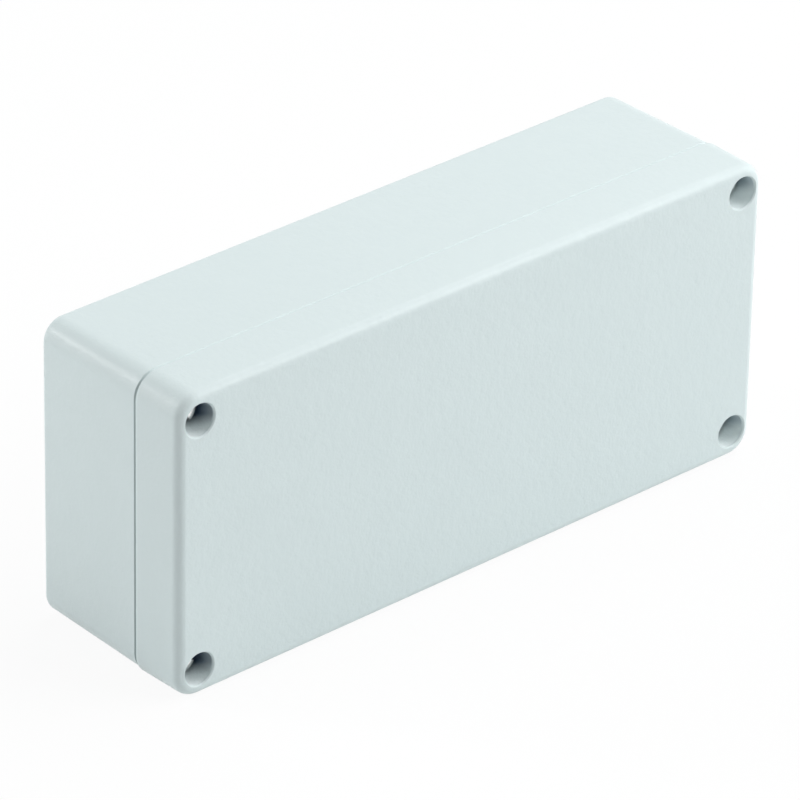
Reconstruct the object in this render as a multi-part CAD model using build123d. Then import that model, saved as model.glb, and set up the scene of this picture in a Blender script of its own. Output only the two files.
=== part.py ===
"""Die cast aluminium box with a screwed lid and a sealing gasket.

The box stands on one long side. X runs along its length, Z is up and the lid faces -Y.
The origin is at the middle of its underside. All sizes are in millimetres, angles in degrees.
"""
from build123d import *
import os

# Outside of the closed box
box_length = 150.0
box_height = 66.0
lid_depth = 12.5
base_depth = 28.5
lid_overhang = 0.3
corner_radius = 5.4
lid_front_radius = 2.0
base_back_radius = 1.5
lid_lip_chamfer = 0.4
base_lip_chamfer = 0.5
outer_draft = 1.0

# Cast walls
lid_face_wall = 3.0
base_back_wall = 3.0
end_wall = 3.0
pocket_draft = 1.5
pocket_floor_radius = 1.5
pocket_corner_radius = 3.0
end_pocket_corner_radius = 2.5

# Seal, its groove in the lid and the tongue on the base that presses it
seal_side_inset = 3.5
seal_corner_radius = 4.0
groove_width = 3.2
groove_depth = 3.4
groove_rib = 1.5
seal_side_gap = 0.1
tongue_width = 1.6
tongue_height = 1.6
tongue_tip_chamfer = 0.3
tongue_shoulder = 0.5

# Captive lid screws
screw_from_end = 5.5
screw_from_side = 6.0
thread_diameter = 4.0
thread_gap = 0.06
thread_reach = 8.8
thread_start = 0.2
thread_tip_room = 2.4
waist_diameter = 3.0
screw_head_diameter = 6.1
screw_head_height = 2.2
screw_head_drop = 4.7
screw_well_gap = 0.4
screw_well_rim = 0.25
screw_hole_gap = 0.2
slot_width = 1.0
slot_depth = 0.9
screw_angles = {"upper_left": 35.0, "upper_right": 80.0, "lower_left": 60.0, "lower_right": 15.0}

# Retaining rings that keep the screws in the lid
retainer_diameter = 6.2
retainer_thickness = 0.8
retainer_bore_gap = 0.1
retainer_pocket_gap = 0.4

# Fixing holes in the base, reached with the lid off
fixing_from_end = 6.0
fixing_pitch_from_screw = 8.0
fixing_hole_diameter = 4.5
fixing_head_diameter = 7.4
fixing_head_gap = 0.4
fixing_floor = 3.5
well_wall = 2.0
pocket_wall = 1.6

# Bosses inside the base for a mounting plate
plate_boss_from_end = 25.0
plate_boss_from_side = 14.0
plate_boss_diameter = 7.0
plate_boss_height = 6.0
tapped_hole_floor = 1.5
boss_root = 1.0

# Earth terminal inside the base
earth_from_end = 24.0
earth_boss_diameter = 9.5
earth_boss_height = 4.0
earth_head_diameter = 7.6
earth_head_height = 2.6
earth_thread_reach = 5.0
earth_screw_angle = 20.0
clamp_washer_diameter = 9.0
clamp_washer_thickness = 0.8
lock_washer_diameter = 7.8
lock_washer_thickness = 0.5
washer_bore_gap = 0.15
lock_tooth_count = 8
lock_tooth_depth = 0.7
lock_tooth_gap = 0.8

# Sizes that follow from the ones above
base_length = box_length - 2 * lid_overhang
base_height = box_height - 2 * lid_overhang
base_corner_radius = corner_radius - lid_overhang
joint_y = (lid_depth - base_depth) / 2
screw_x = box_length / 2 - screw_from_end
screw_z = box_height / 2 - screw_from_side
screw_well_radius = screw_head_diameter / 2 + screw_well_gap
screw_head_top = lid_depth - screw_head_drop
screw_seat = screw_head_top - screw_head_height
retainer_top = thread_start + retainer_thickness
retainer_pocket_radius = retainer_diameter / 2 + retainer_pocket_gap
retainer_pocket_depth = retainer_top + retainer_pocket_gap / 2
fixing_x = box_length / 2 - fixing_from_end
fixing_z = screw_z - fixing_pitch_from_screw
fixing_well_radius = fixing_head_diameter / 2 + fixing_head_gap
innermost_well_x = min(fixing_x - fixing_well_radius, screw_x - retainer_pocket_radius)
seal_x = innermost_well_x - well_wall - groove_width / 2
seal_z = box_height / 2 - seal_side_inset
end_pocket_inner_x = seal_x + groove_width / 2 + pocket_wall
end_pocket_outer_x = base_length / 2 - end_wall
end_pocket_half_z = fixing_z - fixing_well_radius - pocket_wall
plate_boss_x = box_length / 2 - plate_boss_from_end
plate_boss_z = box_height / 2 - plate_boss_from_side
earth_x = -(box_length / 2 - earth_from_end)
base_floor = base_depth - base_back_wall
overcut = 1.0

corners = {
    "upper_left": (-1, 1),
    "upper_right": (1, 1),
    "lower_left": (-1, -1),
    "lower_right": (1, -1),
}


def in_lid_frame(shape):
    """Put a shape whose +Z runs from the joint plane towards the lid's face into the box."""
    return Pos(0, joint_y, box_height / 2) * Rot(90, 0, 0) * shape


def in_base_frame(shape):
    """Put a shape whose +Z runs from the joint plane towards the base's back into the box."""
    return Pos(0, joint_y, box_height / 2) * Rot(-90, 0, 0) * shape


def cast_block(length, height, radius, depth):
    """Outer form of one casting, leaning in from the joint plane by the draft."""
    return extrude(RectangleRounded(length, height, radius), amount=depth, taper=outer_draft)


def cavity(length, height, radius, depth):
    """Cutter for the hollow inside the seal, narrower by the draft and round where it meets its floor."""
    pocket = extrude(RectangleRounded(length, height, radius), amount=depth, taper=pocket_draft)
    return fillet(pocket.edges().group_by(Axis.Z)[-1], pocket_floor_radius)


def seal_ring(width, low, high):
    """Ring along the seal's line, as wide as given and between two depths."""
    outer = RectangleRounded(2 * seal_x + width, 2 * seal_z + width, seal_corner_radius + width / 2)
    inner = RectangleRounded(2 * seal_x - width, 2 * seal_z - width, seal_corner_radius - width / 2)
    return Pos(0, 0, low) * extrude(outer - inner, amount=high - low)


def rod(radius, low, high):
    """Round bar along Z between two heights."""
    return Pos(0, 0, low) * Cylinder(radius, high - low, align=(Align.CENTER, Align.CENTER, Align.MIN))


def end_pockets(depth):
    """Cutters for the hollows outside the seal, one between the fixing holes at each end."""
    length = end_pocket_outer_x - end_pocket_inner_x
    middle = (end_pocket_outer_x + end_pocket_inner_x) / 2
    outline = RectangleRounded(length, 2 * end_pocket_half_z, end_pocket_corner_radius)
    pocket = extrude(outline, amount=depth)
    return [Pos(side * middle, 0, 0) * pocket for side in (-1, 1)]


def flared_well(radius, rim, low, high):
    """Cutter for a round well from low up to a face at high, with a sloped rim to its mouth."""
    mouth = Cone(radius, radius + rim, rim, align=(Align.CENTER, Align.CENTER, Align.MAX))
    return rod(radius, low, high + overcut) + Pos(0, 0, high) * mouth


def base_casting():
    """Lower casting: walls, back, tongue, threaded corners, fixing wells and bosses."""
    body = cast_block(base_length, base_height, base_corner_radius, base_depth)
    body = fillet(body.edges().group_by(Axis.Z)[-1], base_back_radius)
    body = chamfer(body.edges().group_by(Axis.Z)[0], base_lip_chamfer)
    cavity_margin = tongue_width / 2 + tongue_shoulder
    body -= cavity(
        2 * (seal_x - cavity_margin),
        2 * (seal_z - cavity_margin),
        seal_corner_radius - cavity_margin,
        base_floor,
    )
    for pocket in end_pockets(base_floor):
        body -= pocket
    for side_x, side_z in corners.values():
        at_screw = Pos(side_x * screw_x, side_z * screw_z, 0)
        body -= at_screw * rod(thread_diameter / 2, -overcut, thread_reach + thread_tip_room)
        at_fixing = Pos(side_x * fixing_x, side_z * fixing_z, 0)
        body -= at_fixing * rod(fixing_well_radius, -overcut, base_depth - fixing_floor)
        body -= at_fixing * rod(fixing_hole_diameter / 2, 0, base_depth + overcut)
    tongue = seal_ring(tongue_width, -tongue_height, overcut)
    body += chamfer(tongue.edges().group_by(Axis.Z)[0], tongue_tip_chamfer)
    return base_bosses(body)


def base_bosses(body):
    """Add the plate bosses and the earth boss to the floor of the base, with their holes."""
    for side_x, side_z in corners.values():
        spot = Pos(side_x * plate_boss_x, side_z * plate_boss_z, 0)
        body = tapped_boss(body, spot, plate_boss_diameter, plate_boss_height)
    return tapped_boss(body, Pos(earth_x, 0, 0), earth_boss_diameter, earth_boss_height)


def tapped_boss(body, spot, diameter, height):
    """Round boss on the floor of the base, with a sloped root and a tapped hole down its middle."""
    radius = diameter / 2
    top = base_floor - height
    align = (Align.CENTER, Align.CENTER, Align.MIN)
    root = Pos(0, 0, base_floor - boss_root) * Cone(radius, radius + boss_root, boss_root, align=align)
    hole = rod(thread_diameter / 2, top - overcut, base_depth - tapped_hole_floor)
    return body + spot * (rod(radius, top, base_floor + overcut) + root) - spot * hole


def lid_casting():
    """Upper casting: face, rim, seal groove, screw wells and the pockets for the rings."""
    body = cast_block(box_length, box_height, corner_radius, lid_depth)
    body = fillet(body.edges().group_by(Axis.Z)[-1], lid_front_radius)
    body = chamfer(body.edges().group_by(Axis.Z)[0], lid_lip_chamfer)
    rib_margin = groove_width / 2 + groove_rib
    hollow_depth = lid_depth - lid_face_wall
    body -= cavity(
        2 * (seal_x - rib_margin),
        2 * (seal_z - rib_margin),
        pocket_corner_radius,
        hollow_depth,
    )
    for pocket in end_pockets(hollow_depth):
        body -= pocket
    body -= seal_ring(groove_width, -overcut, groove_depth)
    for side_x, side_z in corners.values():
        at_screw = Pos(side_x * screw_x, side_z * screw_z, 0)
        body -= at_screw * flared_well(screw_well_radius, screw_well_rim, screw_seat, lid_depth)
        body -= at_screw * rod(thread_diameter / 2 + screw_hole_gap, 0, screw_seat + overcut)
        body -= at_screw * rod(retainer_pocket_radius, -overcut, retainer_pocket_depth)
    return body


def seal():
    """Rubber gasket in the lid's groove, pressed flat on the tongue's tip."""
    return seal_ring(groove_width - 2 * seal_side_gap, tongue_height, groove_depth)


def drive_slot(top, angle):
    """Cutter for the screwdriver slot across a screw head whose top is at the given height."""
    slot_length = 2 * max(screw_head_diameter, earth_head_diameter)
    return Pos(0, 0, top) * Rot(0, 0, angle) * Box(slot_length, slot_width, 2 * slot_depth)


def machine_screw(head_radius, head_top, seat, waist_radius, thread_top, tip, angle):
    """Screw along Z: head between top and seat, waist down to its thread, then thread to the tip."""
    head = rod(head_radius, seat, head_top) - drive_slot(head_top, angle)
    thread = rod(thread_diameter / 2 - thread_gap, tip, thread_top)
    return head + rod(waist_radius, thread_top, seat) + thread


def lid_screw(angle):
    """Captive screw: short head, thin waist through the lid and thread in the base."""
    return machine_screw(
        screw_head_diameter / 2,
        screw_head_top,
        screw_seat,
        waist_diameter / 2,
        thread_start,
        -thread_reach,
        angle,
    )


def screw_retainer():
    """Ring round the screw's waist that the thread can't pull through."""
    ring = rod(retainer_diameter / 2, thread_start, retainer_top)
    return ring - rod(waist_diameter / 2 + retainer_bore_gap, thread_start - overcut, retainer_top + overcut)


def flat_washer(diameter, thickness, top):
    """Plain washer, its upper face at top, measured from the joint plane."""
    bore = rod(thread_diameter / 2 + washer_bore_gap, top - overcut, top + thickness + overcut)
    return rod(diameter / 2, top, top + thickness) - bore


def toothed_washer(diameter, thickness, top):
    """Lock washer with a tooth between each two notches in its rim."""
    washer = flat_washer(diameter, thickness, top)
    notch = Box(2 * lock_tooth_depth, lock_tooth_gap, 2 * thickness)
    notch = Pos(diameter / 2, 0, top + thickness / 2) * notch
    for turn in range(lock_tooth_count):
        washer -= Rot(0, 0, turn * 360 / lock_tooth_count) * notch
    return washer


def earth_terminal():
    """Earth screw with its two washers, stacked on the boss in the base."""
    clamp_top = base_floor - earth_boss_height - clamp_washer_thickness
    lock_top = clamp_top - lock_washer_thickness
    head_top = lock_top - earth_head_height
    screw = machine_screw(
        earth_head_diameter / 2,
        -head_top,
        -lock_top,
        thread_diameter / 2 - thread_gap,
        -lock_top - overcut,
        -(base_floor - earth_boss_height + earth_thread_reach),
        earth_screw_angle,
    )
    spot = Pos(earth_x, 0, 0)
    return {
        "earth_screw": spot * Rot(180, 0, 0) * screw,
        "earth_lock_washer": spot * toothed_washer(lock_washer_diameter, lock_washer_thickness, lock_top),
        "earth_clamp_washer": spot * flat_washer(clamp_washer_diameter, clamp_washer_thickness, clamp_top),
    }


def all_parts():
    """Every piece of the box under its own name, in the box's frame."""
    parts = {
        "base": in_base_frame(base_casting()),
        "lid": in_lid_frame(lid_casting()),
        "seal": in_lid_frame(seal()),
    }
    for name, (side_x, side_z) in corners.items():
        spot = Pos(side_x * screw_x, side_z * screw_z, 0)
        parts["lid_screw_" + name] = in_lid_frame(spot * lid_screw(screw_angles[name]))
        parts["screw_retainer_" + name] = in_lid_frame(spot * screw_retainer())
    for name, piece in earth_terminal().items():
        parts[name] = in_base_frame(piece)
    return parts


os.makedirs("parts", exist_ok=True)
for node, piece in all_parts().items():
    export_step(piece, "parts/" + node + ".step")
    print(node, round(piece.volume, 2), "mm3")
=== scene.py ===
"""Looks of a die cast aluminium box with a screwed and sealed lid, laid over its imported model.

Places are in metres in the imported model's frame: X runs along the box, Z is up and the lid faces -Y.
"""
import logging
import math
from dataclasses import dataclass, field
from enum import Enum
from typing import ClassVar, Iterable, Sequence

import bmesh
import bpy
from mathutils import Matrix, Vector


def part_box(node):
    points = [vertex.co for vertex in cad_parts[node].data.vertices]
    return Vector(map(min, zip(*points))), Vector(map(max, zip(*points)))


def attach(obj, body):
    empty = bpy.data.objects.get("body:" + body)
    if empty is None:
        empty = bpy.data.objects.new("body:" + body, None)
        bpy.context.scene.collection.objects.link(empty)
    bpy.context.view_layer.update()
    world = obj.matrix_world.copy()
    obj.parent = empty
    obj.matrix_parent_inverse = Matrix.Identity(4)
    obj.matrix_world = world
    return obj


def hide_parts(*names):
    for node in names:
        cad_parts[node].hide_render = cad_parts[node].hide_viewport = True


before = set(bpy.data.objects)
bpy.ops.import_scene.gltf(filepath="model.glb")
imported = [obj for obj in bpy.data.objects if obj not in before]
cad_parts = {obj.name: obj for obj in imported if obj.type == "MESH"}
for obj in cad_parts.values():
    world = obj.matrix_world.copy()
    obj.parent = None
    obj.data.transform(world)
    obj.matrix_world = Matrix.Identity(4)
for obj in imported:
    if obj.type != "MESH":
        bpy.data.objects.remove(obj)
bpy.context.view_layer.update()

log = logging.getLogger("enclosure")

MM = 0.001
WELD = 0.001 * MM
FULL_TURN = 2 * math.pi
SOFT_ANGLE = math.radians(35)

Colour = tuple[float, float, float]
Outline = Sequence[tuple[float, float]]
BMesh = bmesh.types.BMesh
Material = bpy.types.Material
Object = bpy.types.Object
Socket = bpy.types.NodeSocket


class Corner(Enum):
    """The four corners that hold a lid screw, as the sides of the box that they lie on."""

    UPPER_LEFT = (-1, 1)
    UPPER_RIGHT = (1, 1)
    LOWER_LEFT = (-1, -1)
    LOWER_RIGHT = (1, -1)

    @property
    def label(self) -> str:
        """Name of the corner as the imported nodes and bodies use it."""
        return self.name.lower()


class Slot(Enum):
    """Material slots of the record."""

    POWDER_COAT = "powder_coat"
    STAINLESS = "stainless_steel"
    PLATED = "plated_steel"
    RUBBER = "seal_rubber"
    NYLON = "nylon"


@dataclass(frozen=True)
class BoxPlan:
    """Main places of the box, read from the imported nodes."""

    half_length: float
    half_height: float
    middle_z: float
    joint_y: float
    face_y: float
    back_y: float
    screw_x: float
    screw_z: float
    overhang: float
    corner_radius: float = 5.1 * MM

    @classmethod
    def from_frame(cls) -> "BoxPlan":
        """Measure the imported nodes.

        Returns:
            The plan of this box.
        """
        lid_low, lid_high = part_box("lid")
        base_low, base_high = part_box("base")
        screw_low, screw_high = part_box("lid_screw_upper_right")
        middle_z = (lid_low.z + lid_high.z) / 2
        return cls(
            half_length=lid_high.x,
            half_height=lid_high.z - middle_z,
            middle_z=middle_z,
            joint_y=lid_high.y,
            face_y=lid_low.y,
            back_y=base_high.y,
            screw_x=(screw_low.x + screw_high.x) / 2,
            screw_z=(screw_low.z + screw_high.z) / 2 - middle_z,
            overhang=lid_high.x - base_high.x,
        )


class ShaderSheet:
    """Node tree of one material, with short ways to add the nodes that the finishes share."""

    MIX_SOCKETS: ClassVar[dict[str, tuple[int, int, int]]] = {
        "FLOAT": (2, 3, 0),
        "VECTOR": (4, 5, 1),
        "RGBA": (6, 7, 2),
    }

    def __init__(self, name: str) -> None:
        """Start an empty material.

        Args:
            name: Name of the material.
        """
        self.material = bpy.data.materials.new(name)
        self.material.use_nodes = True
        self.tree = self.material.node_tree
        self.tree.nodes.clear()
        self.place = self.node("ShaderNodeTexCoord").outputs["Object"]

    def node(self, kind: str, **settings: object) -> bpy.types.Node:
        """Add a node.

        Args:
            kind: Type name of the node.
            settings: Properties of the node and their values.

        Returns:
            The new node.
        """
        made = self.tree.nodes.new(kind)
        for key, value in settings.items():
            setattr(made, key, value)
        return made

    def feed(self, socket: Socket, value: object) -> None:
        """Set an input socket to a fixed value, or link it to another node's output.

        Args:
            socket: The input.
            value: A number, a colour or an output socket.
        """
        if isinstance(value, Socket):
            self.tree.links.new(value, socket)
        else:
            socket.default_value = value

    def maths(self, operation: str, *values: object) -> Socket:
        """Work out one number from one to three others.

        Args:
            operation: Blender's name of the operation.
            values: Numbers or outputs.

        Returns:
            The result's output.
        """
        made = self.node("ShaderNodeMath", operation=operation)
        for socket, value in zip(made.inputs, values):
            self.feed(socket, value)
        return made.outputs[0]

    def noise(self, grain: float, detail: float = 2.0, stretch: Sequence[float] = (1, 1, 1)) -> Socket:
        """Soft noise over the object's own coordinates.

        Args:
            grain: Size of a typical lump, in metres.
            detail: How many finer layers are added.
            stretch: How many times longer a lump is along each axis.

        Returns:
            The noise, from 0 to 1.
        """
        mapping = self.node("ShaderNodeMapping")
        self.feed(mapping.inputs["Vector"], self.place)
        mapping.inputs["Scale"].default_value = [1 / s for s in stretch]
        made = self.node("ShaderNodeTexNoise")
        self.feed(made.inputs["Vector"], mapping.outputs[0])
        made.inputs["Scale"].default_value = 1 / grain
        made.inputs["Detail"].default_value = detail
        return made.outputs["Fac"]

    def spread(
        self, value: object, low: float, high: float, start: float = 0.0, end: float = 1.0
    ) -> Socket:
        """Map a value from one range to another, held at both ends.

        Args:
            value: The output to map.
            low: Value that gives start.
            high: Value that gives end.
            start: Result at low.
            end: Result at high.

        Returns:
            The mapped output.
        """
        made = self.node("ShaderNodeMapRange", interpolation_type="SMOOTHSTEP")
        for socket, number in zip(made.inputs, (value, low, high, start, end)):
            self.feed(socket, number)
        return made.outputs[0]

    def blend(self, kind: str, amount: object, first: object, second: object) -> Socket:
        """Mix two values of one kind.

        Args:
            kind: FLOAT, VECTOR or RGBA.
            amount: 0 gives the first, 1 the second.
            first: A value or an output.
            second: A value or an output.

        Returns:
            The mixed value.
        """
        made = self.node("ShaderNodeMix", data_type=kind)
        first_place, second_place, result_place = self.MIX_SOCKETS[kind]
        self.feed(made.inputs[0], amount)
        self.feed(made.inputs[first_place], first)
        self.feed(made.inputs[second_place], second)
        return made.outputs[result_place]

    def blend_colour(self, amount: object, first: object, second: object) -> Socket:
        """Mix two colours: 0 gives the first, 1 the second."""
        return self.blend("RGBA", amount, self.opaque(first), self.opaque(second))

    @staticmethod
    def opaque(value: object) -> object:
        """Add full opacity to a plain colour, and leave an output as it is."""
        return (*value, 1) if isinstance(value, tuple) else value

    def diagonal(self, first: object, second: object) -> Socket:
        """Measure the diagonal over two sides at right angles.

        Args:
            first: Output with the length of one side.
            second: Output with the length of the other.

        Returns:
            The diagonal's length.
        """
        first_square = self.maths("MULTIPLY", first, first)
        second_square = self.maths("MULTIPLY", second, second)
        return self.maths("SQRT", self.maths("ADD", first_square, second_square))

    def bump(self, height: object, depth: float, under: object = None) -> Socket:
        """Turn a height into a bent surface normal.

        Args:
            height: Output from 0 to 1.
            depth: Height of 1, in metres.
            under: Normal of a coarser bump below this one.

        Returns:
            The normal.
        """
        made = self.node("ShaderNodeBump")
        made.inputs["Distance"].default_value = depth
        self.feed(made.inputs["Height"], height)
        if under is not None:
            self.feed(made.inputs["Normal"], under)
        return made.outputs[0]

    def coordinates(self) -> tuple[Socket, ...]:
        """Split the object's own coordinates.

        Returns:
            X, Y and Z as three outputs.
        """
        made = self.node("ShaderNodeSeparateXYZ")
        self.feed(made.inputs[0], self.place)
        return tuple(made.outputs)

    def surface(self, **values: object) -> Material:
        """Close the tree with a Principled surface.

        Args:
            values: Inputs of the Principled shader, with an underscore for each space.

        Returns:
            The finished material.
        """
        shader = self.node("ShaderNodeBsdfPrincipled")
        for key, value in values.items():
            self.feed(shader.inputs[key.replace("_", " ")], self.opaque(value))
        output = self.node("ShaderNodeOutputMaterial")
        self.feed(output.inputs["Surface"], shader.outputs[0])
        return self.material


@dataclass(frozen=True)
class BareCasting:
    """Uncoated die cast aluminium: satin grey with flow marks and a fine cast grain."""

    light: Colour = (0.6, 0.61, 0.62)
    dark: Colour = (0.4, 0.41, 0.42)
    smooth: float = 0.4
    rough: float = 0.6
    grain: float = 0.35 * MM
    grain_depth: float = 0.03 * MM
    flow: float = 9 * MM
    flow_stretch: tuple[float, float, float] = (2.5, 1, 1)

    def layers(self, sheet: ShaderSheet) -> tuple[Socket, ...]:
        """Build the colour, the roughness and the normal of the metal.

        Args:
            sheet: Node tree to build them in.

        Returns:
            The three outputs.
        """
        flow = sheet.spread(sheet.noise(self.flow, 4.0, self.flow_stretch), 0.3, 0.7)
        grain = sheet.bump(sheet.noise(self.grain, 3.0), self.grain_depth)
        roughness = sheet.spread(flow, 0, 1, self.smooth, self.rough)
        return sheet.blend_colour(flow, self.dark, self.light), roughness, grain

    def material(self) -> Material:
        """Build the finish for a piece that is bare all over.

        Returns:
            The material.
        """
        sheet = ShaderSheet("bare_casting")
        colour, roughness, normal = self.layers(sheet)
        return sheet.surface(Base_Color=colour, Metallic=1.0, Roughness=roughness, Normal=normal)


@dataclass(frozen=True)
class BareZone:
    """Inside of a casting, which the powder didn't reach, behind a border that follows the outer walls."""

    half_x: float
    half_z: float
    corner: float
    low_y: float
    high_y: float
    middle_z: float
    border: float = 0.25 * MM
    ragged: float = 1.0 * MM
    ragged_grain: float = 1.2 * MM

    def mask(self, sheet: ShaderSheet) -> Socket:
        """Build the mask of the bare metal.

        Args:
            sheet: Node tree to build it in.

        Returns:
            1 on bare metal, 0 on paint.
        """
        x, y, z = sheet.coordinates()
        side_z = sheet.maths("ABSOLUTE", sheet.maths("SUBTRACT", z, self.middle_z))
        from_x = sheet.maths("SUBTRACT", sheet.maths("ABSOLUTE", x), self.half_x - self.corner)
        from_z = sheet.maths("SUBTRACT", side_z, self.half_z - self.corner)
        round_x, round_z = sheet.maths("MAXIMUM", from_x, 0.0), sheet.maths("MAXIMUM", from_z, 0.0)
        over_side = sheet.maths("SUBTRACT", sheet.diagonal(round_x, round_z), self.corner)
        over_y = sheet.maths("MAXIMUM", sheet.maths("SUBTRACT", y, self.high_y),
                             sheet.maths("SUBTRACT", self.low_y, y))
        over = sheet.maths("MAXIMUM", over_side, over_y)
        wander = sheet.maths("SUBTRACT", sheet.noise(self.ragged_grain, 4.0), 0.5)
        ragged = sheet.maths("MULTIPLY", wander, self.ragged)
        return sheet.spread(sheet.maths("ADD", over, ragged), self.border, -self.border)


@dataclass(frozen=True)
class ScrewWells:
    """Wells of the lid, where the powder lies on the mouth and the lower wall and is thin further in.

    The painted shade is darker in the wells at the left than in those at the right.
    """

    x: float
    z: float
    face_y: float
    middle_z: float
    reach: float = 4.4 * MM
    floor: float = 8.0 * MM
    sideways: float = 0.35
    slope: float = 0.46
    fade_low: float = -1.7 * MM
    fade_high: float = 1.8 * MM
    right_shift: float = 1.4 * MM
    mouth: tuple[float, float] = (0.15 * MM, 0.7 * MM)
    rim: float = 0.9 * MM
    rim_share: float = 0.75
    inner: float = 4.5 * MM
    near_side: float = -2.2 * MM
    far_side: float = -0.8 * MM
    near_share: float = 0.6
    # painted lit tone of the lower wall, and painted shade that is darker in the left wells than in the
    # right ones
    painted_lit_wall: Colour = (0.9, 0.985, 0.985)
    painted_shade_left: Colour = (0.033, 0.062, 0.105)
    painted_shade_right: Colour = (0.24, 0.31, 0.35)

    def masks(self, sheet: ShaderSheet) -> tuple[Socket, ...]:
        """Build the mask of the wells and the painted light and shade inside them.

        Args:
            sheet: Node tree to build them in.

        Returns:
            1 anywhere in a well, and the painted colour of light and shade there.
        """
        x, y, z = sheet.coordinates()
        across = self.from_centre(sheet, x, self.x)
        up = self.from_centre(sheet, sheet.maths("SUBTRACT", z, self.middle_z), self.z)
        depth = sheet.maths("SUBTRACT", y, self.face_y)
        near = sheet.maths("LESS_THAN", sheet.diagonal(across, up), self.reach)
        within = sheet.maths("MULTIPLY", near, sheet.maths("LESS_THAN", depth, self.floor))
        within = sheet.maths("MULTIPLY", within, sheet.spread(depth, *self.mouth))
        # border of the painted shade: tilted across the well and sloped with depth, like a shadow edge cast
        # by the rim
        tilted = sheet.maths("ADD", up, sheet.maths("MULTIPLY", across, self.sideways))
        over = sheet.maths("ADD", tilted, sheet.maths("MULTIPLY", depth, self.slope))
        at_rim = sheet.spread(depth, 0.0, self.rim, 0.0, self.rim_share)
        further = sheet.spread(depth, self.rim, self.inner, 0.0, 1 - self.rim_share)
        inward = sheet.maths("ADD", at_rim, further)
        right = sheet.spread(x, -self.x, self.x)
        over = sheet.maths("SUBTRACT", over, sheet.maths("MULTIPLY", right, self.right_shift))
        upper = sheet.spread(over, self.fade_low, self.fade_high)
        side = sheet.spread(across, self.near_side, self.far_side, self.near_share, 1.0)
        shaded = sheet.maths("MULTIPLY", upper, side)
        painted_shade_share = sheet.maths("MULTIPLY", shaded, inward)
        # painted shade colour, darker in the left wells than in the right ones
        well_shade_colour = sheet.blend_colour(right, self.painted_shade_left, self.painted_shade_right)
        return within, sheet.blend_colour(painted_shade_share, self.painted_lit_wall, well_shade_colour)

    @staticmethod
    def from_centre(sheet: ShaderSheet, place: Socket, centre: float) -> Socket:
        """Measure along one axis from the nearer of two wells that lie at plus and minus centre."""
        nearer = sheet.maths("MULTIPLY", sheet.maths("SIGN", place), centre)
        return sheet.maths("SUBTRACT", place, nearer)


@dataclass(frozen=True)
class JointEdge:
    """Strip along the joint at a casting's ends, in another tone: painted shade in the joint on the base
    and a painted highlight on the lid's lip.
    """

    joint_y: float
    middle_z: float
    half_height: float
    width: float
    tone: Colour
    strength: float = 0.8
    soft_share: float = 0.7
    fade_start: float = 1.0 * MM
    fade_end: float = 3.5 * MM

    def over(self, sheet: ShaderSheet, colour: Socket) -> Socket:
        """Lay the painted strip over a colour.

        Args:
            sheet: Node tree to build it in.
            colour: Colour of the casting.

        Returns:
            The colour with the strip.
        """
        _, y, z = sheet.coordinates()
        away = sheet.maths("ABSOLUTE", sheet.maths("SUBTRACT", y, self.joint_y))
        strip = sheet.spread(away, self.width, self.soft_share * self.width, 0.0, self.strength)
        side_z = sheet.maths("ABSOLUTE", sheet.maths("SUBTRACT", z, self.middle_z))
        ends = sheet.spread(side_z, self.half_height - self.fade_start, self.half_height - self.fade_end)
        return sheet.blend_colour(sheet.maths("MULTIPLY", strip, ends), colour, self.tone)


@dataclass(frozen=True)
class PowderCoat:
    """Light silver grey powder coat with a fine orange peel, over a bare casting."""

    name: str
    zone: BareZone
    edge: JointEdge
    wells: ScrewWells | None = None
    casting: BareCasting = BareCasting()
    colour: Colour = (0.646, 0.733, 0.738)
    shade: Colour = (0.628, 0.715, 0.721)
    cloud: float = 6 * MM
    roughness: float = 0.34
    uneven: float = 0.03
    sheen: float = 0.3
    peel: float = 0.5 * MM
    peel_depth: float = 0.035 * MM
    wave: float = 1.5 * MM
    wave_depth: float = 0.065 * MM

    def material(self) -> Material:
        """Build the finish.

        Returns:
            The material.
        """
        sheet = ShaderSheet(self.name)
        bare = self.zone.mask(sheet)
        cloud = sheet.noise(self.cloud, 3.0)
        raw, raw_gloss, grain = self.casting.layers(sheet)
        low, high = self.roughness - self.uneven, self.roughness + self.uneven
        gloss = sheet.spread(cloud, 0.3, 0.7, low, high)
        # joint strip: painted shade in the base's joint, painted highlight on the lid's lip
        colour = self.edge.over(sheet, sheet.blend_colour(cloud, self.colour, self.shade))
        # painted light and shade inside the screw wells
        if self.wells:
            within, inside = self.wells.masks(sheet)
            bare = sheet.maths("MULTIPLY", bare, sheet.maths("SUBTRACT", 1.0, within))
            colour = sheet.blend_colour(within, colour, inside)
        peel = sheet.bump(sheet.noise(self.wave, 1.0), self.wave_depth)
        peel = sheet.bump(sheet.noise(self.peel, 1.5), self.peel_depth, peel)
        return sheet.surface(
            Base_Color=sheet.blend_colour(bare, colour, raw),
            Metallic=bare,
            Specular_IOR_Level=self.sheen,
            Roughness=sheet.blend("FLOAT", bare, gloss, raw_gloss),
            Normal=sheet.blend("VECTOR", bare, peel, grain),
        )


@dataclass(frozen=True)
class TurnedMetal:
    """Turned or rolled steel with a fine lay and a few scuffs."""

    name: str
    bright: Colour = (0.9, 0.9, 0.895)
    dull: Colour = (0.78, 0.78, 0.775)
    smooth: float = 0.12
    rough: float = 0.25
    scuff: float = 1.1 * MM
    grain: float = 0.12 * MM
    grain_stretch: tuple[float, float, float] = (1, 6, 1)
    grain_depth: float = 0.004 * MM

    def material(self) -> Material:
        """Build the finish.

        Returns:
            The material.
        """
        sheet = ShaderSheet(self.name)
        scuff = sheet.spread(sheet.noise(self.scuff, 4.0), 0.35, 0.65)
        lay = sheet.noise(self.grain, 2.0, self.grain_stretch)
        return sheet.surface(
            Base_Color=sheet.blend_colour(scuff, self.dull, self.bright),
            Metallic=1.0,
            Roughness=sheet.spread(scuff, 0, 1, self.rough, self.smooth),
            Normal=sheet.bump(lay, self.grain_depth),
        )


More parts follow.
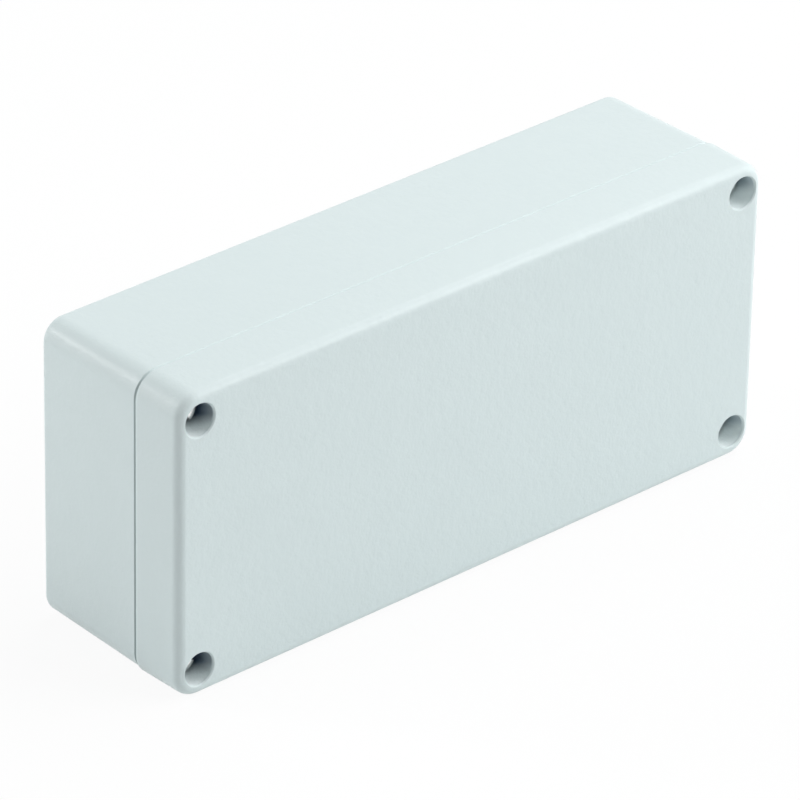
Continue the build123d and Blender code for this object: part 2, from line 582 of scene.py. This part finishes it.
@dataclass(frozen=True)
class CellularRubber:
    """Matt black closed cell rubber with small pores."""

    name: str = "cellular_rubber"
    black: Colour = (0.028, 0.028, 0.03)
    grey: Colour = (0.05, 0.05, 0.052)
    cloud: float = 2 * MM
    roughness: float = 0.78
    pore_roughness: float = 0.95
    pore: float = 0.3 * MM
    pore_depth: float = 0.05 * MM

    def material(self) -> Material:
        """Build the finish.

        Returns:
            The material.
        """
        sheet = ShaderSheet(self.name)
        cells = sheet.node("ShaderNodeTexVoronoi")
        sheet.feed(cells.inputs["Vector"], sheet.place)
        cells.inputs["Scale"].default_value = 1 / self.pore
        skin = sheet.spread(cells.outputs["Distance"], 0.1, 0.45)
        return sheet.surface(
            Base_Color=sheet.blend_colour(sheet.noise(self.cloud, 4.0), self.black, self.grey),
            Roughness=sheet.spread(skin, 0, 1, self.pore_roughness, self.roughness),
            Normal=sheet.bump(skin, self.pore_depth),
        )


@dataclass(frozen=True)
class Nylon:
    """Natural nylon, slightly waxy and a little uneven."""

    name: str = "natural_nylon"
    pale: Colour = (0.78, 0.76, 0.69)
    warm: Colour = (0.7, 0.67, 0.58)
    cloud: float = 1.5 * MM
    roughness: float = 0.42
    uneven: float = 0.06
    grain: float = 0.3 * MM
    grain_depth: float = 0.006 * MM
    soft_weight: float = 0.15
    soft_scale: float = 0.6 * MM

    def material(self) -> Material:
        """Build the finish.

        Returns:
            The material.
        """
        sheet = ShaderSheet(self.name)
        cloud = sheet.noise(self.cloud, 3.0)
        low, high = self.roughness - self.uneven, self.roughness + self.uneven
        gloss = sheet.spread(cloud, 0.3, 0.7, low, high)
        return sheet.surface(
            Base_Color=sheet.blend_colour(cloud, self.pale, self.warm),
            Roughness=gloss,
            Normal=sheet.bump(sheet.noise(self.grain), self.grain_depth),
            Subsurface_Weight=self.soft_weight,
            Subsurface_Scale=self.soft_scale,
        )


class Workshop:
    """Ways of making meshes that several pieces share. Each piece is made along +Z and then placed."""

    TO_FACE: ClassVar[Matrix] = Matrix.Rotation(math.pi / 2, 4, "X")

    @staticmethod
    def turned(outline: Outline, steps: int) -> BMesh:
        """Turn an outline of (radius, height) points about Z.

        Args:
            outline: Points from the foot of the axis to its top.
            steps: Number of faces round the axis.

        Returns:
            A closed mesh.
        """
        bm = bmesh.new()
        verts = [bm.verts.new((radius, 0, height)) for radius, height in outline]
        edges = [bm.edges.new(pair) for pair in zip(verts, verts[1:])]
        bmesh.ops.spin(bm, geom=verts + edges, cent=(0, 0, 0), axis=(0, 0, 1), angle=FULL_TURN,
                       steps=steps, use_merge=True)
        bmesh.ops.remove_doubles(bm, verts=bm.verts, dist=WELD)
        bmesh.ops.recalc_face_normals(bm, faces=bm.faces)
        return bm

    @staticmethod
    def washer(bore: float, radius: float, thickness: float, edge: float, steps: int = 48) -> BMesh:
        """Turn a flat ring with broken edges, its lower face at zero.

        Args:
            bore: Radius of the hole.
            radius: Outer radius.
            thickness: Height of the ring.
            edge: Size of the broken edges.
            steps: Number of faces round the axis.

        Returns:
            A closed mesh.
        """
        outer = [(radius - edge, 0), (radius, edge), (radius, thickness - edge), (radius - edge, thickness)]
        inner = [(bore + edge, thickness), (bore, thickness - edge), (bore, edge)]
        start = (bore + edge, 0)
        return Workshop.turned([start, *outer, *inner, start], steps)

    @staticmethod
    def block(size: Sequence[float], centre: Sequence[float] = (0, 0, 0), foot: float = 1.0) -> BMesh:
        """Rectangular block, narrower at its foot if asked.

        Args:
            size: Length along X, Y and Z.
            centre: Middle of the block.
            foot: Size of the lower face as a share of the upper one.

        Returns:
            A closed mesh.
        """
        bm = bmesh.new()
        bmesh.ops.create_cube(bm, size=1.0)
        lower = [vert for vert in bm.verts if vert.co.z < 0]
        bmesh.ops.scale(bm, vec=(foot, foot, 1), verts=lower)
        bmesh.ops.scale(bm, vec=size, verts=bm.verts)
        bmesh.ops.translate(bm, vec=centre, verts=bm.verts)
        return bm

    @staticmethod
    def joined(parts: Iterable[BMesh]) -> BMesh:
        """Put several meshes into one.

        Args:
            parts: The meshes, which are freed.

        Returns:
            One mesh with all of them.
        """
        whole = bmesh.new()
        for part in parts:
            mesh = bpy.data.meshes.new("part")
            part.to_mesh(mesh)
            part.free()
            whole.from_mesh(mesh)
            bpy.data.meshes.remove(mesh)
        return whole

    @staticmethod
    def to_object(
        bm: BMesh, name: str, place: Matrix = Matrix.Identity(4), smooth: float = SOFT_ANGLE
    ) -> Object:
        """Put a mesh in its place and link it as an object at the origin.

        Args:
            bm: The mesh, which is freed.
            name: Name of the piece.
            place: Where it goes.
            smooth: Edges flatter than this angle are shaded smooth.

        Returns:
            The object.
        """
        bmesh.ops.transform(bm, matrix=place, verts=bm.verts)
        for face in bm.faces:
            face.smooth = True
        for edge in bm.edges:
            edge.smooth = len(edge.link_faces) == 2 and edge.calc_face_angle(0.0) < smooth
        mesh = bpy.data.meshes.new(name)
        bm.to_mesh(mesh)
        bm.free()
        made = bpy.data.objects.new(name, mesh)
        bpy.context.scene.collection.objects.link(made)
        return made

    @staticmethod
    def cut(bm: BMesh, cutter: BMesh) -> BMesh:
        """Take one mesh away from another.

        Args:
            bm: The mesh that is cut, which is freed.
            cutter: The mesh that is taken away, which is freed.

        Returns:
            What is left.
        """
        body = Workshop.to_object(bm, "cut_body")
        tool = Workshop.to_object(cutter, "cut_tool")
        modifier = body.modifiers.new("cut", "BOOLEAN")
        modifier.operation = "DIFFERENCE"
        modifier.solver = "EXACT"
        modifier.use_self = True
        modifier.object = tool
        graph = bpy.context.evaluated_depsgraph_get()
        mesh = bpy.data.meshes.new_from_object(body.evaluated_get(graph))
        left = bmesh.new()
        left.from_mesh(mesh)
        for made in (body, tool):
            spare = made.data
            bpy.data.objects.remove(made)
            bpy.data.meshes.remove(spare)
        bpy.data.meshes.remove(mesh)
        return left


@dataclass(frozen=True)
class ThreadForm:
    """Form of an M4 thread's ridge, with its widths as shares of the pitch."""

    foot: float
    flat: float
    steps: int
    pitch: float = 0.7 * MM
    sunk: float = 0.05 * MM

    def wind(self, root: float, crest: float, low: float, turns: float) -> BMesh:
        """Wind a ridge up about Z.

        Args:
            root: Radius of the ridge's foot.
            crest: Radius of its crest.
            low: Height at which the ridge starts.
            turns: Number of turns.

        Returns:
            A closed mesh.
        """
        bm = bmesh.new()
        half_foot, half_flat = self.foot * self.pitch / 2, self.flat * self.pitch / 2
        points = [(root, -half_foot), (crest, -half_flat), (crest, half_flat), (root, half_foot)]
        verts = [bm.verts.new((radius, 0, low + height)) for radius, height in points]
        edges = [bm.edges.new(pair) for pair in zip(verts, verts[1:] + verts[:1])]
        count = round(turns * self.steps)
        bmesh.ops.spin(bm, geom=verts + edges, cent=(0, 0, 0), axis=(0, 0, 1), steps=count,
                       dvec=(0, 0, self.pitch / self.steps), angle=FULL_TURN * count / self.steps)
        bmesh.ops.holes_fill(bm, edges=[edge for edge in bm.edges if edge.is_boundary])
        bmesh.ops.recalc_face_normals(bm, faces=bm.faces)
        return bm


def dress(piece: Object, material: Material) -> None:
    """Give a piece one material."""
    piece.data.materials.clear()
    piece.data.materials.append(material)


@dataclass
class Casting:
    """One of the two castings, kept as packed, with its finish and soft shading on its curves."""

    node: str
    finish: PowderCoat
    soft_angle: float = math.radians(32)

    def dress(self) -> Object:
        """Give the casting its finish.

        Returns:
            The casting's object.
        """
        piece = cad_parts[self.node]
        dress(piece, self.finish.material())
        modifier = piece.modifiers.new("soft_curves", "NODES")
        modifier.node_group = self.soft_curves()
        return piece

    def soft_curves(self) -> bpy.types.NodeTree:
        """Build the modifier that joins the triangles and shades flat angles smooth.

        Returns:
            The modifier's node group.
        """
        group = bpy.data.node_groups.new("soft_curves_" + self.node, "GeometryNodeTree")
        group.interface.new_socket("Geometry", in_out="INPUT", socket_type="NodeSocketGeometry")
        group.interface.new_socket("Geometry", in_out="OUTPUT", socket_type="NodeSocketGeometry")
        start = group.nodes.new("NodeGroupInput")
        end = group.nodes.new("NodeGroupOutput")
        merge = group.nodes.new("GeometryNodeMergeByDistance")
        merge.inputs["Distance"].default_value = WELD
        faces = group.nodes.new("GeometryNodeSetShadeSmooth")
        edges = group.nodes.new("GeometryNodeSetShadeSmooth")
        edges.domain = "EDGE"
        edges.inputs["Shade Smooth"].default_value = False
        angle = group.nodes.new("GeometryNodeInputMeshEdgeAngle")
        steep = group.nodes.new("FunctionNodeCompare")
        steep.operation = "GREATER_THAN"
        steep.inputs[1].default_value = self.soft_angle
        chain = (start, merge, faces, edges, end)
        for before, after in zip(chain, chain[1:]):
            group.links.new(before.outputs[0], after.inputs[0])
        group.links.new(angle.outputs["Unsigned Angle"], steep.inputs[0])
        group.links.new(steep.outputs[0], edges.inputs["Selection"])
        return group


@dataclass
class MachineScrew:
    """M4 machine screw with a dished head, made along Z with the top of its head at zero."""

    node: str
    body: str
    slot: Slot
    turn: float
    material: Material
    head_radius: float = 3.05 * MM
    head_height: float = 2.2 * MM
    head_edge: float = 0.25 * MM
    dish_radii: tuple[float, float, float] = (2.7 * MM, 2.0 * MM, 1.2 * MM)
    dish_slope: float = math.tan(math.radians(22))
    waist_radius: float = 1.5 * MM
    thread_length: float = 9.0 * MM
    core_radius: float = 1.58 * MM
    crest_radius: float = 1.93 * MM
    ridge: ThreadForm = ThreadForm(foot=0.78, flat=0.12, steps=32)
    tip: float = 0.5 * MM
    slot_width: float = 1.0 * MM
    slot_depth: float = 0.9 * MM
    cross_length: float = 4.4 * MM
    cross_width: float = 1.05 * MM
    cross_depth: float = 1.8 * MM
    cross_foot: float = 0.45
    round_steps: int = 48

    def build(self) -> Object:
        """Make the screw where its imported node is.

        Returns:
            The screw's object.
        """
        low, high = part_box(self.node)
        length = high.y - low.y
        place = Matrix.Translation(((low.x + high.x) / 2, low.y, (low.z + high.z) / 2))
        body = Workshop.cut(self.blank(length), self.recess())
        shape = Workshop.joined([body, self.thread(length)])
        screw = Workshop.to_object(shape, self.node + "_detailed", place @ Workshop.TO_FACE)
        dress(screw, self.material)
        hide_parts(self.node)
        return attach(screw, self.body)

    def head_outline(self) -> list[tuple[float, float]]:
        """Draw the side, the rim and the dished top of a cheese head.

        Returns:
            Points of (radius, height) from the head's seat to the middle of its top.
        """
        rim, seat, edge = self.head_radius, -self.head_height, self.head_edge
        arc = [math.radians(angle) for angle in (0, 22.5, 45, 67.5, 90)]
        rounded = [(rim - edge + edge * math.cos(a), -edge + edge * math.sin(a)) for a in arc]
        dish = [(radius, (radius - self.dish_radii[0]) * self.dish_slope) for radius in self.dish_radii]
        return [(rim - edge / 2, seat), (rim, seat + edge / 2), *rounded, *dish, (0, dish[-1][1])]

    def blank(self, length: float) -> BMesh:
        """Turn the blank from its tip up to the head's top.

        Args:
            length: Length of the whole screw.

        Returns:
            The blank, without its recess and thread.
        """
        waist, core, foot = self.waist_radius, self.core_radius, -length
        thread_top = foot + self.thread_length
        shank = [(0, foot), (core - self.tip, foot), (core, foot + self.tip), (core, thread_top)]
        neck = [(waist, thread_top + abs(core - waist)), (waist, -self.head_height)]
        return Workshop.turned([*shank, *neck, *self.head_outline()], self.round_steps)

    def recess(self) -> BMesh:
        """Build the cutter for the slot and the tapered cross in the head.

        Returns:
            The cutter, which stands out above the head.
        """
        over = self.head_edge
        slot = Workshop.block((4 * self.head_radius, self.slot_width, self.slot_depth + over),
                              (0, 0, (over - self.slot_depth) / 2))
        size = (self.cross_length, self.cross_width, self.cross_depth + over)
        middle = (0, 0, (over - self.cross_depth) / 2)
        arms = [Workshop.block(size, middle, self.cross_foot) for _ in range(2)]
        bmesh.ops.rotate(arms[1], matrix=Matrix.Rotation(math.pi / 2, 3, "Z"), verts=arms[1].verts)
        cutter = Workshop.joined([slot, *arms])
        turn = Matrix.Rotation(math.radians(self.turn), 3, "Z")
        bmesh.ops.rotate(cutter, matrix=turn, verts=cutter.verts)
        return cutter

    def thread(self, length: float) -> BMesh:
        """Wind the thread ridge round the core.

        Args:
            length: Length of the whole screw.

        Returns:
            The ridge.
        """
        pitch = self.ridge.pitch
        turns = (self.thread_length - self.tip) / pitch - 1
        low = -length + self.tip + pitch / 2
        return self.ridge.wind(self.core_radius - self.ridge.sunk, self.crest_radius, low, turns)


@dataclass
class PanHeadScrew(MachineScrew):
    """Earth screw: pan head with a rounded top and its thread up to the head."""

    head_radius: float = 3.8 * MM
    head_height: float = 2.6 * MM
    waist_radius: float = 1.6 * MM
    thread_length: float = 6.0 * MM
    crown: float = 1.3 * MM

    def head_outline(self) -> list[tuple[float, float]]:
        """Draw the side and the rounded top of a pan head.

        Returns:
            Points of (radius, height) from the head's seat to the middle of its top.
        """
        rim, seat, edge = self.head_radius, -self.head_height, self.head_edge
        arc = [math.radians(angle) for angle in range(0, 91, 10)]
        crown = [(rim * math.cos(a), -self.crown + self.crown * math.sin(a)) for a in arc]
        return [(rim - edge / 2, seat), (rim, seat + edge / 2), *crown[:-1], (0, 0)]


@dataclass
class Washer:
    """Flat ring with broken edges."""

    node: str
    material: Material
    slot: Slot = Slot.PLATED
    body: str = "base_body"
    bore_radius: float = 2.15 * MM
    edge: float = 0.12 * MM

    def build(self) -> Object:
        """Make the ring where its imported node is.

        Returns:
            The ring's object.
        """
        low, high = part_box(self.node)
        place = Matrix.Translation(((low.x + high.x) / 2, high.y, (low.z + high.z) / 2))
        shape = self.shape((high.x - low.x) / 2, high.y - low.y)
        ring = Workshop.to_object(shape, self.node + "_detailed", place @ Workshop.TO_FACE)
        dress(ring, self.material)
        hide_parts(self.node)
        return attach(ring, self.body)

    def shape(self, radius: float, thickness: float) -> BMesh:
        """Turn a flat ring of the given radius and thickness."""
        return Workshop.washer(self.bore_radius, radius, thickness, self.edge)


@dataclass
class Retainer(Washer):
    """Nylon ring that snaps round a lid screw's waist."""

    slot: Slot = Slot.NYLON
    bore_radius: float = 1.6 * MM
    edge: float = 0.14 * MM


@dataclass
class ToothedWasher(Washer):
    """Lock washer with twisted teeth round its rim."""

    edge: float = 0.06 * MM
    teeth: int = 8
    tooth_width: float = 1.25 * MM
    tooth_length: float = 0.9 * MM
    root_share: float = 0.8
    plate: float = 0.36 * MM
    twist: float = math.radians(6)

    def shape(self, radius: float, thickness: float) -> BMesh:
        """Ring with teeth that are twisted so that their edges bite.

        Args:
            radius: Radius over the teeth.
            thickness: Height of the twisted teeth.

        Returns:
            A mesh of closed pieces.
        """
        root = radius - self.tooth_length * self.root_share
        ring = Workshop.washer(self.bore_radius, root, self.plate, self.edge)
        bmesh.ops.translate(ring, vec=(0, 0, (thickness - self.plate) / 2), verts=ring.verts)
        tooth = Workshop.block((self.tooth_length, self.tooth_width, self.plate))
        outer = [vert for vert in tooth.verts if vert.co.x > 0]
        bmesh.ops.rotate(tooth, matrix=Matrix.Rotation(self.twist, 3, "X"), verts=outer)
        middle = (radius - self.tooth_length / 2, 0, thickness / 2)
        bmesh.ops.translate(tooth, vec=middle, verts=tooth.verts)
        whole_tooth = tooth.verts[:] + tooth.edges[:] + tooth.faces[:]
        bmesh.ops.spin(tooth, geom=whole_tooth, cent=(0, 0, 0), axis=(0, 0, 1), angle=FULL_TURN,
                       steps=self.teeth, use_duplicate=True)
        return Workshop.joined([ring, tooth])


@dataclass
class TappedThreads:
    """Thread ridges in the tapped holes of the base: its four corners and the plate bosses."""

    plan: BoxPlan
    material: Material
    hole_radius: float = 2.0 * MM
    corner_crest: float = 1.96 * MM
    boss_crest: float = 1.68 * MM
    form: ThreadForm = ThreadForm(foot=0.8, flat=0.15, steps=24)
    floor_gap: float = 0.6
    open_turns: float = 1.5
    corner_depth: float = 11.2 * MM
    boss_x: float = 50 * MM
    boss_z: float = 19 * MM
    boss_top: float = 19.5 * MM
    boss_floor: float = 27.0 * MM

    def build(self) -> Object:
        """Make the ridges in all eight holes.

        Returns:
            One object with the ridges.
        """
        plan = self.plan
        ridges = []
        for corner in Corner:
            side_x, side_z = corner.value
            column = (side_x * plan.screw_x, side_z * plan.screw_z)
            boss = (side_x * self.boss_x, side_z * self.boss_z)
            ridges.append(self.ridge(self.corner_crest, column, 0.0, self.corner_depth))
            ridges.append(self.ridge(self.boss_crest, boss, self.boss_top, self.boss_floor))
        threads = Workshop.to_object(Workshop.joined(ridges), "tapped_threads")
        dress(threads, self.material)
        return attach(threads, "base_body")

    def ridge(self, crest: float, spot: tuple[float, float], top: float, floor: float) -> BMesh:
        """Wind the ridge of one hole.

        Args:
            crest: Radius of the ridge's inner edge.
            spot: Place of the hole across the box, from its middle.
            top: Depth of the hole's mouth behind the joint.
            floor: Depth of its floor.

        Returns:
            The ridge in its place.
        """
        pitch = self.form.pitch
        turns = (floor - top) / pitch - self.open_turns
        ridge = self.form.wind(self.hole_radius + self.form.sunk, crest, self.floor_gap * pitch, turns)
        place = Matrix.Translation((spot[0], self.plan.joint_y + floor, self.plan.middle_z + spot[1]))
        bmesh.ops.transform(ridge, matrix=place @ Workshop.TO_FACE, verts=ridge.verts)
        return ridge


@dataclass
class Gasket:
    """Rubber gasket in the lid's groove, with the strip that the tongue presses into it."""

    material: Material
    node: str = "seal"
    width: float = 3.0 * MM
    corner_radius: float = 5.5 * MM
    corner_segments: int = 12
    strip: float = 1.9 * MM
    bulge: float = 0.3 * MM
    soft_angle: float = math.radians(50)

    def build(self) -> Object:
        """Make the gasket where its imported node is.

        Returns:
            The gasket's object.
        """
        low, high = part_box(self.node)
        bm = self.ring((high.x - low.x, high.z - low.z, high.y - low.y))
        self.press(bm)
        bmesh.ops.recalc_face_normals(bm, faces=bm.faces)
        place = Matrix.Translation((low + high) / 2) @ Matrix.Rotation(-math.pi / 2, 4, "X")
        gasket = Workshop.to_object(bm, "gasket_detailed", place, self.soft_angle)
        dress(gasket, self.material)
        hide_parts(self.node)
        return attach(gasket, "lid_body")

    def ring(self, size: Sequence[float]) -> BMesh:
        """Cut a flat ring with rounded corners from a block.

        Args:
            size: Length along X, Y and Z.

        Returns:
            The ring, about the middle.
        """
        bm = Workshop.block(size)
        upright = [edge for edge in bm.edges if abs(edge.verts[0].co.z - edge.verts[1].co.z) > size[2] / 2]
        bmesh.ops.bevel(bm, geom=upright, offset=self.corner_radius, segments=self.corner_segments,
                        profile=0.5, affect="EDGES", material=-1)
        ends = [face for face in bm.faces if abs(face.normal.z) > 0.9]
        bmesh.ops.inset_region(bm, faces=ends, thickness=self.width, use_even_offset=True)
        bmesh.ops.delete(bm, geom=ends, context="FACES")
        bmesh.ops.bridge_loops(bm, edges=[edge for edge in bm.edges if edge.is_boundary])
        return bm

    def press(self, bm: BMesh) -> None:
        """Raise two beads beside the strip that the tongue presses.

        Args:
            bm: The ring, which is changed.
        """
        top = [face for face in bm.faces if face.normal.z > 0.9 and face.calc_center_median().z > 0]
        side = (self.width - self.strip) / 2
        beads = bmesh.ops.inset_region(bm, faces=top, thickness=side, use_even_offset=True)["faces"]
        strip = {vert for face in top for vert in face.verts}
        bmesh.ops.inset_region(bm, faces=beads, thickness=side / 3, use_even_offset=True)
        raised = {vert for face in beads for vert in face.verts} - strip
        bmesh.ops.translate(bm, vec=(0, 0, self.bulge), verts=list(raised))


@dataclass
class PhotoCamera:
    """Camera at the photograph's place, fitted to the outline of the box."""

    location: Sequence[float] = (-754.21 * MM, -831.03 * MM, 673.52 * MM)
    aim: Sequence[float] = (-4.78 * MM, -3.568 * MM, 33.134 * MM)
    lens: float = 299.69
    sensor: float = 36.0
    roll: float = math.radians(1.1696)

    def build(self) -> Object:
        """Make the camera and use it for the scene.

        Returns:
            The camera's object.
        """
        data = bpy.data.cameras.new("photo_camera")
        data.lens = self.lens
        data.sensor_width = self.sensor
        camera = bpy.data.objects.new("photo_camera", data)
        bpy.context.scene.collection.objects.link(camera)
        look = Vector(self.aim) - Vector(self.location)
        turn = look.to_track_quat("-Z", "Y").to_matrix().to_4x4()
        camera.matrix_world = Matrix.Translation(self.location) @ turn @ Matrix.Rotation(self.roll, 4, "Z")
        bpy.context.scene.camera = camera
        return camera


@dataclass(frozen=True)
class Softbox:
    """Square area light that points at the box from one direction."""

    name: str
    direction: Sequence[float]
    power: float
    size: float = 0.5
    distance: float = 0.9
    colour: Colour = (1.0, 1.0, 1.0)

    def build(self, target: Vector) -> Object:
        """Hang the light.

        Args:
            target: Point that it faces.

        Returns:
            The light's object.
        """
        data = bpy.data.lights.new(self.name, "AREA")
        data.energy = self.power
        data.size = self.size
        data.color = self.colour
        light = bpy.data.objects.new(self.name, data)
        bpy.context.scene.collection.objects.link(light)
        away = Vector(self.direction).normalized()
        light.location = target + away * self.distance
        light.rotation_mode = "QUATERNION"
        light.rotation_quaternion = away.to_track_quat("Z", "Y")
        return light


@dataclass(frozen=True)
class Studio:
    """White studio: soft ambient light, five softboxes and a pale floor that shows a faint shadow."""

    ambient: float = 0.21
    floor_colour: Colour = (0.86, 0.87, 0.87)
    floor_glow: float = 0.92
    floor_size: float = 12.0
    softboxes: tuple[Softbox, ...] = (
        Softbox("softbox_key", (0.5, -0.62, 0.6), 12.8, 0.95, 1.5),
        Softbox("softbox_right", (0.85, -0.45, 0.25), 3.5, 0.8, 1.2),
        Softbox("softbox_left", (-0.75, 0.6, 0.25), 4.5, 0.9, 0.9),
        Softbox("softbox_edge", (-0.6, 0.67, 0.43), 1.1, 0.13, 0.9),
        Softbox("softbox_top", (0.45, 0.08, 0.8), 11.8, 1.3, 1.5),
    )

    def build(self, target: Vector) -> None:
        """Set up the surroundings.

        Args:
            target: Middle of the box.
        """
        self.surroundings()
        self.floor()
        for softbox in self.softboxes:
            softbox.build(target)

    @staticmethod
    def seen(tree: bpy.types.NodeTree) -> Socket:
        """Tell the rays that show a surface, straight or in a mirror, from those that only light the box.

        Args:
            tree: Node tree to build in.

        Returns:
            1 for camera, glossy and transmission rays, 0 for the others.
        """
        path = tree.nodes.new("ShaderNodeLightPath")
        total = path.outputs["Is Camera Ray"]
        for name in ("Is Glossy Ray", "Is Transmission Ray"):
            more = tree.nodes.new("ShaderNodeMath")
            more.operation = "MAXIMUM"
            tree.links.new(total, more.inputs[0])
            tree.links.new(path.outputs[name], more.inputs[1])
            total = more.outputs[0]
        return total

    def surroundings(self) -> None:
        """Make the world light the box softly and look white to the camera."""
        world = bpy.data.worlds.new("studio_world")
        world.use_nodes = True
        bpy.context.scene.world = world
        tree = world.node_tree
        tree.nodes.clear()
        strength = tree.nodes.new("ShaderNodeMapRange")
        tree.links.new(self.seen(tree), strength.inputs["Value"])
        strength.inputs["To Min"].default_value = self.ambient
        light = tree.nodes.new("ShaderNodeBackground")
        light.inputs["Color"].default_value = (1, 1, 1, 1)
        tree.links.new(strength.outputs[0], light.inputs["Strength"])
        output = tree.nodes.new("ShaderNodeOutputWorld")
        tree.links.new(light.outputs[0], output.inputs["Surface"])

    def floor(self) -> None:
        """Lay the pale floor under the box."""
        bm = bmesh.new()
        bmesh.ops.create_grid(bm, x_segments=1, y_segments=1, size=self.floor_size / 2)
        floor = Workshop.to_object(bm, "studio_floor")
        sheet = ShaderSheet("studio_floor")
        matt = sheet.node("ShaderNodeBsdfDiffuse")
        matt.inputs["Color"].default_value = (*self.floor_colour, 1)
        glow = sheet.node("ShaderNodeEmission")
        glow.inputs["Strength"].default_value = 1.0
        mixed = sheet.node("ShaderNodeMixShader")
        sheet.feed(mixed.inputs[0], sheet.maths("MULTIPLY", self.seen(sheet.tree), self.floor_glow))
        sheet.feed(mixed.inputs[1], matt.outputs[0])
        sheet.feed(mixed.inputs[2], glow.outputs[0])
        output = sheet.node("ShaderNodeOutputMaterial")
        sheet.feed(output.inputs["Surface"], mixed.outputs[0])
        dress(floor, sheet.material)


@dataclass
class Enclosure:
    """The whole box: both castings, the seal, the lid screws with their rings and the earth terminal."""

    plan: BoxPlan
    skin: float = 1.2 * MM
    mouth_skin: float = 5 * MM
    face_skin: float = 1.5 * MM
    joint_shade_width: float = 0.6 * MM
    # painted shade in the joint at the base's ends
    painted_joint_shade: Colour = (0.34, 0.4, 0.41)
    lip_highlight_width: float = 0.95 * MM
    # painted highlight on the lid's lip at its ends
    painted_lip_highlight: Colour = (0.7, 0.8, 0.8)
    earth_turn: float = 20.0
    screw_turns: dict[Corner, float] = field(default_factory=lambda: {
        Corner.UPPER_LEFT: -72.0,
        Corner.UPPER_RIGHT: 80.0,
        Corner.LOWER_LEFT: -13.0,
        Corner.LOWER_RIGHT: 15.0,
    })

    def build(self) -> list[Object]:
        """Build and dress every piece.

        Returns:
            The pieces.
        """
        steel = TurnedMetal("turned_stainless").material()
        nylon = Nylon().material()
        zinc = TurnedMetal("zinc_plate", (0.72, 0.73, 0.74), (0.58, 0.6, 0.62), 0.24, 0.4).material()
        pieces = [casting.dress() for casting in self.castings()]
        pieces.append(Gasket(CellularRubber().material()).build())
        for corner in Corner:
            body = "screw_" + corner.label
            turn = self.screw_turns[corner]
            pieces.append(MachineScrew("lid_" + body, body, Slot.STAINLESS, turn, steel).build())
            pieces.append(Retainer("screw_retainer_" + corner.label, nylon, body=body).build())
        pieces.append(PanHeadScrew("earth_screw", "base_body", Slot.PLATED, self.earth_turn, zinc).build())
        pieces.append(ToothedWasher("earth_lock_washer", zinc).build())
        pieces.append(Washer("earth_clamp_washer", zinc).build())
        pieces.append(TappedThreads(self.plan, BareCasting().material()).build())
        return pieces

    def castings(self) -> list[Casting]:
        """Set out the base and the lid, with the zones that the powder left bare.

        Returns:
            Both castings.
        """
        plan, skin = self.plan, self.skin
        shared = {"corner": plan.corner_radius - skin, "middle_z": plan.middle_z}
        base_zone = BareZone(
            half_x=plan.half_length - plan.overhang - skin,
            half_z=plan.half_height - plan.overhang - skin,
            low_y=plan.joint_y - self.mouth_skin,
            high_y=plan.back_y - self.face_skin,
            **shared,
        )
        lid_zone = BareZone(
            half_x=plan.half_length - skin,
            half_z=plan.half_height - skin,
            low_y=plan.face_y + self.face_skin,
            high_y=plan.joint_y + self.mouth_skin,
            **shared,
        )
        joint = (plan.joint_y, plan.middle_z, plan.half_height)
        # painted shade in the joint on the base
        shaded_joint = JointEdge(*joint, self.joint_shade_width, self.painted_joint_shade)
        # painted highlight on the lid's lip
        bright = JointEdge(*joint, self.lip_highlight_width, self.painted_lip_highlight)
        wells = ScrewWells(plan.screw_x, plan.screw_z, plan.face_y, plan.middle_z)
        return [
            Casting("base", PowderCoat("powder_coat_base", base_zone, shaded_joint)),
            Casting("lid", PowderCoat("powder_coat_lid", lid_zone, bright, wells)),
        ]


def main() -> None:
    """Build the camera, the studio and the box, and report each piece."""
    logging.basicConfig(level=logging.INFO, format="%(name)s: %(message)s")
    bpy.context.scene.view_settings.view_transform = "Standard"
    plan = BoxPlan.from_frame()
    PhotoCamera().build()
    Studio().build(Vector((0, 0, plan.middle_z)))
    for piece in Enclosure(plan).build():
        log.info("%s, %d faces", piece.name, len(piece.data.polygons))


if __name__ == "__main__":
    main()
